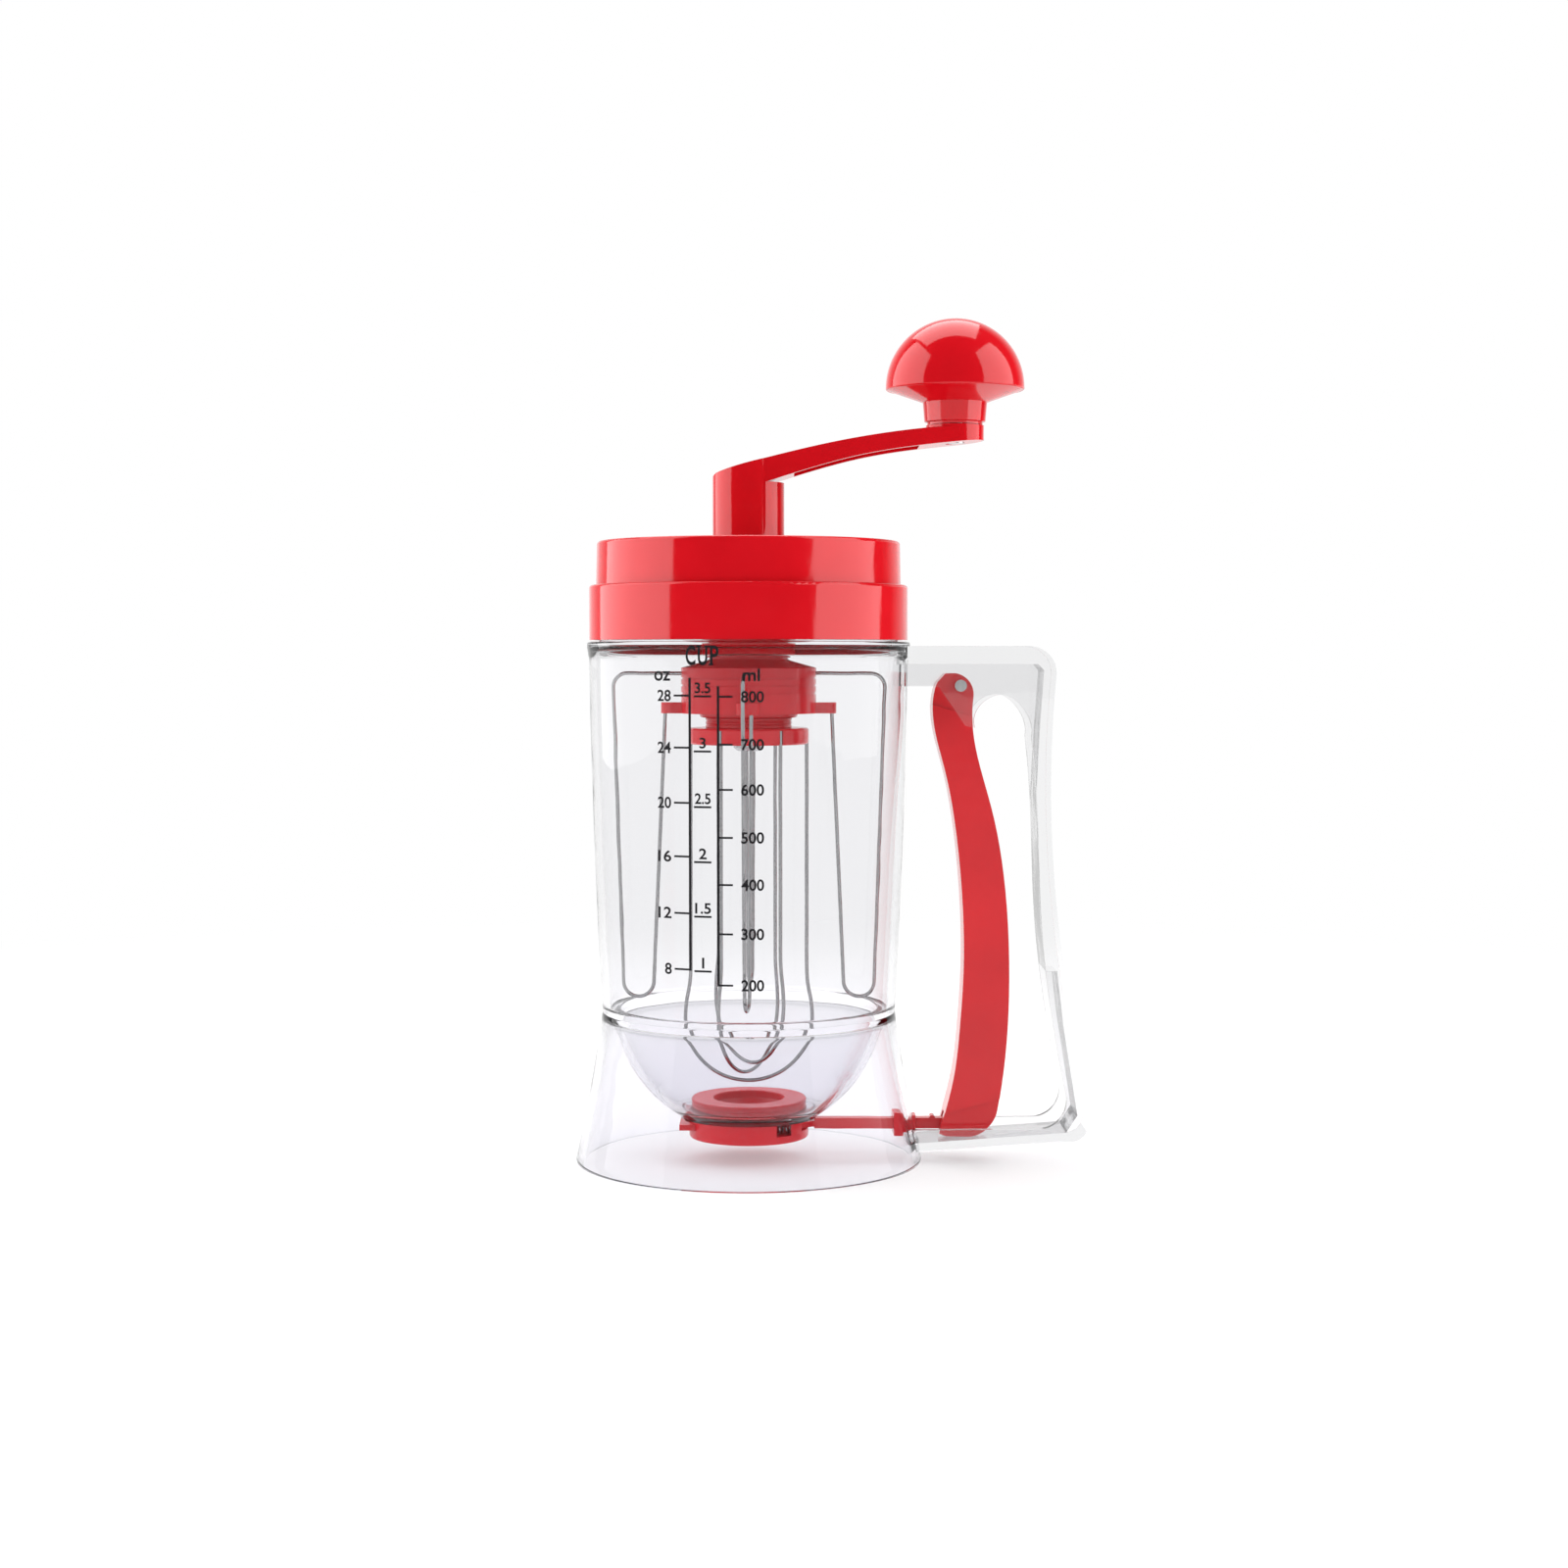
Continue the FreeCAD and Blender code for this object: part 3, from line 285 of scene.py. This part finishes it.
def on_sphere(radius, z):
    return math.sqrt(radius**2 - (BOWL_CENTRE_Z - z) ** 2)


jar_low = (47.0, WAIST_Z + 0.35)
jar_mid = (49.4, 104.2)
jar_top = (50.8, 160.4)
outside = corner((54.9, 0), (55.5, 0.0), (55.3, 3.0), 0.45)
outside += arc_points((55.4, 1.2), (50.6, 25.0), (47.0, WAIST_Z - 0.35), 24)
outside += [(47.0, WAIST_Z - 0.35), (46.75, WAIST_Z - 0.12), (46.75, WAIST_Z + 0.12)]
outside += arc_points(jar_low, jar_mid, jar_top, 36)
swell = [jar_top, (50.95, 161.2), (51.25, 162.8), (51.45, 164.2), (51.5, 165.3)]
outside += swell + [(51.35, 165.8), (50.9, 166.0)]
outside += [(48.0, 166.0), (47.6, 166.1), (47.4, 166.5), (47.4, 179.1), (47.25, 179.5), (46.9, 179.6)]
inside = [(45.9, 179.6), (45.5, 179.45), (45.4, 179.1), (45.4, 165.0), (45.5, 164.5), (45.9, 164.2)]
inside += [(47.5, 164.0), (48.0, 163.7), (48.3, 163.0), (48.35, 161.5)]
inside += arc_points((48.27, 158.0), (46.9, 104.2), (44.72, 52.0), 34)
inside += corner((44.72, 52.0), (44.6, LEDGE_Z), (42.0, LEDGE_Z), 0.9)
inside += corner((43.0, LEDGE_Z), (BOWL_IN_R, LEDGE_Z), (40.95, 47.0), 0.6)
bowl_top = (on_sphere(BOWL_IN_R, 48.6), 48.6)
bowl_foot = (on_sphere(BOWL_IN_R, 17.6), 17.6)
inside += arc_points(bowl_top, (on_sphere(BOWL_IN_R, 25), 25.0), bowl_foot, 26)
floor_z = 17.0
under_z = 13.8
inside += [bowl_foot, (21.3, 17.15), (20.4, floor_z), (13.3, floor_z), (13.05, 16.8)]
inside += [(13.0, 16.4), (13.0, 14.3), (13.1, 13.9), (13.5, under_z), (21.5, under_z)]
inside += [(21.9, 13.95), (22.0, 14.4)]
bowl_shoulder = (on_sphere(BOWL_OUT_R, 43.5), 43.5)
inside += arc_points((22.6, 14.8), (on_sphere(BOWL_OUT_R, 25), 25.0), bowl_shoulder, 26)
inside += [bowl_shoulder, (42.75, 44.6), (43.2, 45.4), (43.9, 45.6), (44.5, 45.1), (44.9, 43.8)]
inside += arc_points((45.3, 41.5), (48.1, 25.0), (52.9, 1.2), 24)
inside += corner((52.8, 3.0), (53.0, 0.0), (53.6, 0), 0.45)
clear_body = lathe("clear_body", outside + inside)
even_shading(clear_body)
# The last number sets the painted shade on the jar's edges where they are seen edge on.
clear = clear_plastic("clear_styrene", (0.93, 0.93, 0.94), (0.88, 0.875, 0.905), 0.25, 1.22, 0.85)
clear_body.data.materials.append(clear)
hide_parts("jar_wall", "jar_bowl", "base_skirt")
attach(clear_body, "root")

# Bayonet lugs. Three short ribs on the jar's neck, moulded with it, that the lid turns under.
LUG_HALF = 14.0
lug_mesh = bpy.data.meshes.new("neck_lugs")
bm = bmesh.new()
for i in range(3):
    middle = 360 * i / 3
    outline = rounded_outline([(46.9, 171.5), (48.6, 171.5), (48.6, 174.0), (46.9, 174.0)], 0.35)
    rings = []
    for j in range(15):
        turn = math.radians(middle - LUG_HALF + 2 * LUG_HALF * j / 14)
        c, s = math.cos(turn) * MM, math.sin(turn) * MM
        rings.append([bm.verts.new((r * c, r * s, z * MM)) for r, z in outline])
    for near, far in zip(rings, rings[1:]):
        for j in range(len(outline)):
            k = (j + 1) % len(outline)
            bm.faces.new((near[j], far[j], far[k], near[k]))
    bm.faces.new(rings[0])
    bm.faces.new(rings[-1][::-1])
bmesh.ops.recalc_face_normals(bm, faces=bm.faces)
bm.to_mesh(lug_mesh)
bm.free()
neck_lugs = bpy.data.objects.new("neck_lugs", lug_mesh)
scene.collection.objects.link(neck_lugs)
lug_mesh.materials.append(clear)
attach(neck_lugs, "root")


# Printed scale. Black ink screened on the front of the jar: ounces on the left rule, cups between,
# millilitres on the right rule. The ink is a film that follows the jar's curve.
INK_FILM = 0.07
INK_GAP = 0.03


def jar_radius(z):
    """Outer radius of the jar's front at height z, on the arc through its foot, middle and top."""
    points = arc_points(jar_low, jar_mid, jar_top, 48) + swell
    for (r0, z0), (r1, z1) in zip(points, points[1:]):
        if z0 <= z <= z1:
            return r0 + (r1 - r0) * (z - z0) / (z1 - z0)
    return swell[-1][0]


def on_jar(x, z, lift):
    radius = jar_radius(z) + lift
    return (x * MM, -math.sqrt(radius**2 - x**2) * MM, z * MM)


ink = bmesh.new()


def ink_face(corners):
    """One flat patch of ink, given as (x, z) corners in order, with its film's thickness."""
    near = [ink.verts.new(on_jar(x, z, INK_GAP + INK_FILM)) for x, z in corners]
    far = [ink.verts.new(on_jar(x, z, INK_GAP)) for x, z in corners]
    ink.faces.new(near)
    ink.faces.new(far[::-1])
    for i in range(len(near)):
        j = (i + 1) % len(near)
        ink.faces.new((near[i], far[i], far[j], near[j]))


def ink_bar(left, right, low, high):
    """A ruled line, cut into short lengths so that it follows the jar."""
    pieces = max(1, round((high - low) / 3.0))
    step = (high - low) / pieces
    for i in range(pieces):
        z = low + i * step
        ink_face([(left, z), (right, z), (right, z + step), (left, z + step)])


def ink_words(words, left, right, low, high):
    """Figures or letters stretched into a box on the jar."""
    text = bpy.data.curves.new("figures", "FONT")
    text.body = words
    text.offset = BOLD
    holder = bpy.data.objects.new("figures", text)
    scene.collection.objects.link(holder)
    bpy.context.view_layer.update()
    flat = bpy.data.meshes.new_from_object(holder.evaluated_get(bpy.context.evaluated_depsgraph_get()))
    xs = [v.co.x for v in flat.vertices]
    ys = [v.co.y for v in flat.vertices]
    tall = (high - low) / (max(ys) - min(ys))
    wide = min((right - left) / (max(xs) - min(xs)), tall * 1.1)
    start = (left + right - wide * (min(xs) + max(xs))) / 2
    for face in flat.polygons:
        spots = [flat.vertices[i].co for i in face.vertices]
        ink_face([(start + p.x * wide, low + (p.y - min(ys)) * tall) for p in spots])
    bpy.data.objects.remove(holder)
    bpy.data.curves.remove(text)
    bpy.data.meshes.remove(flat)


BOLD = 0.02
FIGURE_HIGH = 3.5
ML_LINE_X = -8.5
OZ_LINE_X = -17.1
LINE = 0.75
TICK = 0.3
ML_MARKS = (61.85, 77.5, 92.5, 106.8, 121.3, 134.9, 149.3)
OZ_MARKS = (66.4, 83.6, 100.9, 117.2, 133.9, 149.6)
CUP_MARKS = (66.0, 82.7, 99.3, 116.0, 132.8, 149.4)
for step, z in enumerate(ML_MARKS):
    ink_bar(ML_LINE_X, -4.1, z - TICK, z + TICK)
    ink_words(str(200 + 100 * step), -1.6, 5.3, z - FIGURE_HIGH / 2, z + FIGURE_HIGH / 2)
ink_bar(ML_LINE_X - LINE / 2, ML_LINE_X + LINE / 2, ML_MARKS[0] - TICK, 152.5)
for step, z in enumerate(OZ_MARKS):
    figure = str(8 + 4 * step)
    ink_bar(-22.0, OZ_LINE_X, z - TICK, z + TICK)
    left = -27.0 if len(figure) > 1 else -25.0
    ink_words(figure, left, -22.9, z - FIGURE_HIGH / 2, z + FIGURE_HIGH / 2)
ink_bar(OZ_LINE_X - LINE / 2, OZ_LINE_X + LINE / 2, OZ_MARKS[0] - TICK, 155.0)
for z, figure in zip(CUP_MARKS, ("1", "1.5", "2", "2.5", "3", "3.5")):
    half = 2.4 if "." in figure else 1.2
    ink_bar(-15.9, -10.6, z - TICK, z + TICK)
    ink_words(figure, -13.2 - half, -13.2 + half, z + 0.9, z + 0.9 + FIGURE_HIGH - 0.2)
ink_words("oz", -28.0, -23.0, 154.0, 157.0)
ink_words("ml", -2.0, 5.0, 154.0, 157.8)
ink_words("C", -18.3, -15.3, 158.7, 164.7)
ink_words("U", -14.6, -11.7, 158.7, 164.7)
ink_words("P", -10.9, -8.3, 158.7, 164.7)
for foot_x, foot_z in ((-14.4, 164.4), (-11.9, 164.4), (-10.7, 164.4), (-10.6, 159.0)):
    ink_bar(foot_x - 0.75, foot_x + 0.75, foot_z - 0.3, foot_z + 0.3)
print_mesh = bpy.data.meshes.new("printed_scale")
bmesh.ops.recalc_face_normals(ink, faces=ink.faces)
ink.to_mesh(print_mesh)
ink.free()
printed_scale = bpy.data.objects.new("printed_scale", print_mesh)
scene.collection.objects.link(printed_scale)
black = bpy.data.materials.new("black_ink")
tree = empty_tree(black)
place = add(tree, "TexCoord").outputs["Object"]
dots = add(tree, "TexNoise", {"Vector": place, "Scale": 1800.0, "Detail": 2.0})
shade = add(tree, "ValToRGB", {0: dots.outputs[0]})
shade.color_ramp.elements[0].color = (0.006, 0.006, 0.008, 1)
shade.color_ramp.elements[1].color = (0.022, 0.021, 0.024, 1)
rough = add(tree, "MapRange", {"Value": dots.outputs[0], "To Min": 0.35, "To Max": 0.6})
bump = add(tree, "Bump", {"Height": dots.outputs[0], "Strength": 0.3, "Distance": 0.00003})
skin = {"Base Color": shade.outputs[0], "Roughness": rough.outputs[0], "Normal": bump.outputs[0]}
skin["Specular IOR Level"] = 0.1
add(tree, "OutputMaterial", {"Surface": add(tree, "BsdfPrincipled", skin).outputs[0]})
print_mesh.materials.append(black)
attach(printed_scale, "root")


# Handle. A C of the same clear styrene, welded to the jar above and below: a strap with two side
# plates, its edges broken by the mould.
def softened(node, edge, material, steps=3, sharp=32.0):
    """A moulded piece with its sharp edges rounded, standing in its node's own place."""
    mesh = nodes[node].data.copy()
    if "custom_normal" in mesh.attributes:
        mesh.attributes.remove(mesh.attributes["custom_normal"])
    bm = bmesh.new()
    bm.from_mesh(mesh)
    bmesh.ops.remove_doubles(bm, verts=bm.verts, dist=0.002 * MM)
    bmesh.ops.dissolve_limit(bm, angle_limit=math.radians(0.3), verts=bm.verts, edges=bm.edges)
    limit = math.radians(sharp)
    rims = [e for e in bm.edges if len(e.link_faces) == 2 and e.calc_face_angle(0) > limit]
    bmesh.ops.bevel(
        bm,
        geom=rims,
        offset=edge * MM,
        offset_type="OFFSET",
        segments=steps,
        profile=0.5,
        affect="EDGES",
        clamp_overlap=True,
        loop_slide=True,
    )
    for face in bm.faces:
        face.smooth = True
    for e in bm.edges:
        e.smooth = True
    bm.to_mesh(mesh)
    bm.free()
    piece = bpy.data.objects.new(node + "_moulded", mesh)
    scene.collection.objects.link(piece)
    even_shading(piece)
    mesh.materials.clear()
    mesh.materials.append(material)
    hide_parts(node)
    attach(piece, body_of[node])
    return piece


# The last number sets the strong painted shade that darkens the handle's edges where they are seen edge
# on.
handle_clear = clear_plastic("handle_styrene", (0.89, 0.89, 0.895), (0.88, 0.88, 0.89), 0.15, 1.45, 0.3)
softened("handle_frame", 0.6, handle_clear)


# Pivot pin and the small steel parts: bright drawn steel with fine marks round them.
def bright_steel(name, dark, light, roughness, marks):
    material = bpy.data.materials.new(name)
    tree = empty_tree(material)
    place = add(tree, "TexCoord").outputs["Object"]
    drawn = add(tree, "Mapping", {"Vector": place, "Scale": (1400.0, 1400.0, 90.0)})
    lines = add(tree, "TexNoise", {"Vector": drawn.outputs[0], "Scale": 1.0, "Detail": 2.0})
    shade = add(tree, "ValToRGB", {0: lines.outputs[0]})
    shade.color_ramp.elements[0].color = (dark, dark, dark * 1.01, 1)
    shade.color_ramp.elements[1].color = (light, light, light * 1.01, 1)
    spread = {"Value": lines.outputs[0], "To Min": roughness * 0.7, "To Max": roughness * 1.3}
    gloss = add(tree, "MapRange", spread)
    bump = add(tree, "Bump", {"Height": lines.outputs[0], "Strength": marks, "Distance": 0.00004})
    metal = {"Base Color": shade.outputs[0], "Roughness": gloss.outputs[0], "Normal": bump.outputs[0]}
    skin = add(tree, "BsdfPrincipled", {**metal, "Metallic": 1.0})
    add(tree, "OutputMaterial", {"Surface": skin.outputs[0]})
    return material


def finish_nodes(material, *names):
    """Gives CAD nodes that already have their right shape their finish."""
    for name in names:
        nodes[name].data.materials.clear()
        nodes[name].data.materials.append(material)


steel = bright_steel("pin_steel", 0.42, 0.62, 0.2, 0.2)
polished = bright_steel("pin_end", 0.72, 0.86, 0.12, 0.1)
finish_nodes(polished, "pivot_pin")
finish_nodes(steel, "rod_pin", "knob_axle", "planet_pins", "cover_screws", "hub_screw")


# Valve. A red collar in the bowl's outlet and a housing screwed up to it from below, glossy ABS,
# with the sliding gate between them and a return spring seen through the housing's window.
def moulded_colour(name, deep, bright, roughness, grain, scuffs=0.05):
    """Moulded ABS: slight clouding of its colour, fine grain, and faint rubbed marks in the gloss."""
    material = bpy.data.materials.new(name)
    tree = empty_tree(material)
    place = add(tree, "TexCoord").outputs["Object"]
    cloud = add(tree, "TexNoise", {"Vector": place, "Scale": 34.0, "Detail": 3.0, "Roughness": 0.45})
    shade = add(tree, "ValToRGB", {0: cloud.outputs[0]})
    shade.color_ramp.elements[0].position = 0.3
    shade.color_ramp.elements[0].color = (*deep, 1)
    shade.color_ramp.elements[1].position = 0.7
    shade.color_ramp.elements[1].color = (*bright, 1)
    strokes = {"Vector": place, "Rotation": (0.3, 0.5, 0.9), "Scale": (60.0, 900.0, 400.0)}
    rubbed = add(tree, "Mapping", strokes)
    marks = add(tree, "TexNoise", {"Vector": rubbed.outputs[0], "Scale": 1.0, "Detail": 5.0})
    wear = {"Value": marks.outputs[0], "From Min": 0.5, "From Max": 0.75}
    gloss = add(tree, "MapRange", {**wear, "To Min": roughness, "To Max": roughness + scuffs})
    fine = add(tree, "TexNoise", {"Vector": place, "Scale": 1500.0, "Detail": 2.0})
    bump = add(tree, "Bump", {"Height": fine.outputs[0], "Strength": grain, "Distance": 0.00005})
    skin = {"Base Color": shade.outputs[0], "Roughness": gloss.outputs[0], "Normal": bump.outputs[0]}
    add(tree, "OutputMaterial", {"Surface": add(tree, "BsdfPrincipled", skin).outputs[0]})
    return material


glossy_red = moulded_colour("glossy_red", (0.60, 0.0035, 0.009), (0.68, 0.005, 0.012), 0.09, 0.04)
valve_red = moulded_colour("valve_red", (0.56, 0.006, 0.014), (0.66, 0.009, 0.018), 0.16, 0.08)
satin_red = moulded_colour("satin_red", (0.60, 0.005, 0.011), (0.70, 0.007, 0.014), 0.13, 0.12)
for part, edge in (("valve_collar", 0.4), ("valve_housing", 0.35), ("rod_guide", 0.3)):
    softened(part, edge, valve_red)
finish_nodes(valve_red, "gate_plate")
softened("pull_rod", 0.3, valve_red)

# Return spring: nine turns of steel wire beside the gate, closed up by the gate's lug against the
# housing's wall as the lever is squeezed.
coil = bpy.data.objects.new("spring_coil", nodes["return_spring"].data.copy())
scene.collection.objects.link(coil)
coil.data.materials.clear()
coil.data.materials.append(steel)
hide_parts("return_spring")
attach(coil, "root")
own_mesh(coil)

# Seals: soft milky silicone, under the outlet and in the lid.
milky = moulded_colour("milky_silicone", (0.66, 0.66, 0.64), (0.74, 0.74, 0.72), 0.45, 0.3)
finish_nodes(milky, "gate_seal", "lid_gasket")

# Trigger lever. One curved bar of satin red ABS that hangs from the pin in the handle and draws the
# gate back when it is squeezed.
softened("trigger_lever", 4.0, satin_red, steps=6)

# Lid. A deep ring that grips the jar's neck and a cover snapped over the gear box, both glossy red.
softened("lid_ring", 0.5, glossy_red)
softened("lid_cover", 0.6, glossy_red, steps=4)

# Gear train: white acetal, greased, hidden by the drum: sun on the crank's shaft, three planets.
acetal = moulded_colour("white_acetal", (0.72, 0.72, 0.69), (0.80, 0.80, 0.77), 0.35, 0.1)
finish_nodes(acetal, "shaft_bush", "gear_carrier", "crank_shaft")
finish_nodes(acetal, "planet_gear_1", "planet_gear_2", "planet_gear_3")

# Drum and hub: glossy red, turned one way and the other by the gears, with the wires in their rims.
for part in ("drum_cap", "drum_ring", "drum_floor", "whisk_hub", "whisk_collar"):
    softened(part, 0.35, valve_red)

# Wires: four closed paddle frames in the drum's tabs and three whisk loops in the hub, all of
# 1.2 mm stainless wire.
wire_steel = bright_steel("whisk_wire", 0.30, 0.46, 0.16, 0.15)
finish_nodes(wire_steel, *(f"paddle_wire_{i}" for i in (1, 2, 3, 4)))
finish_nodes(wire_steel, *(f"whisk_wire_{i}" for i in (1, 2, 3)))

# Crank arm and knob: glossy red, the knob free to turn on its steel axle.
softened("crank_arm", 0.8, glossy_red, steps=4)
softened("knob", 0.5, glossy_red)
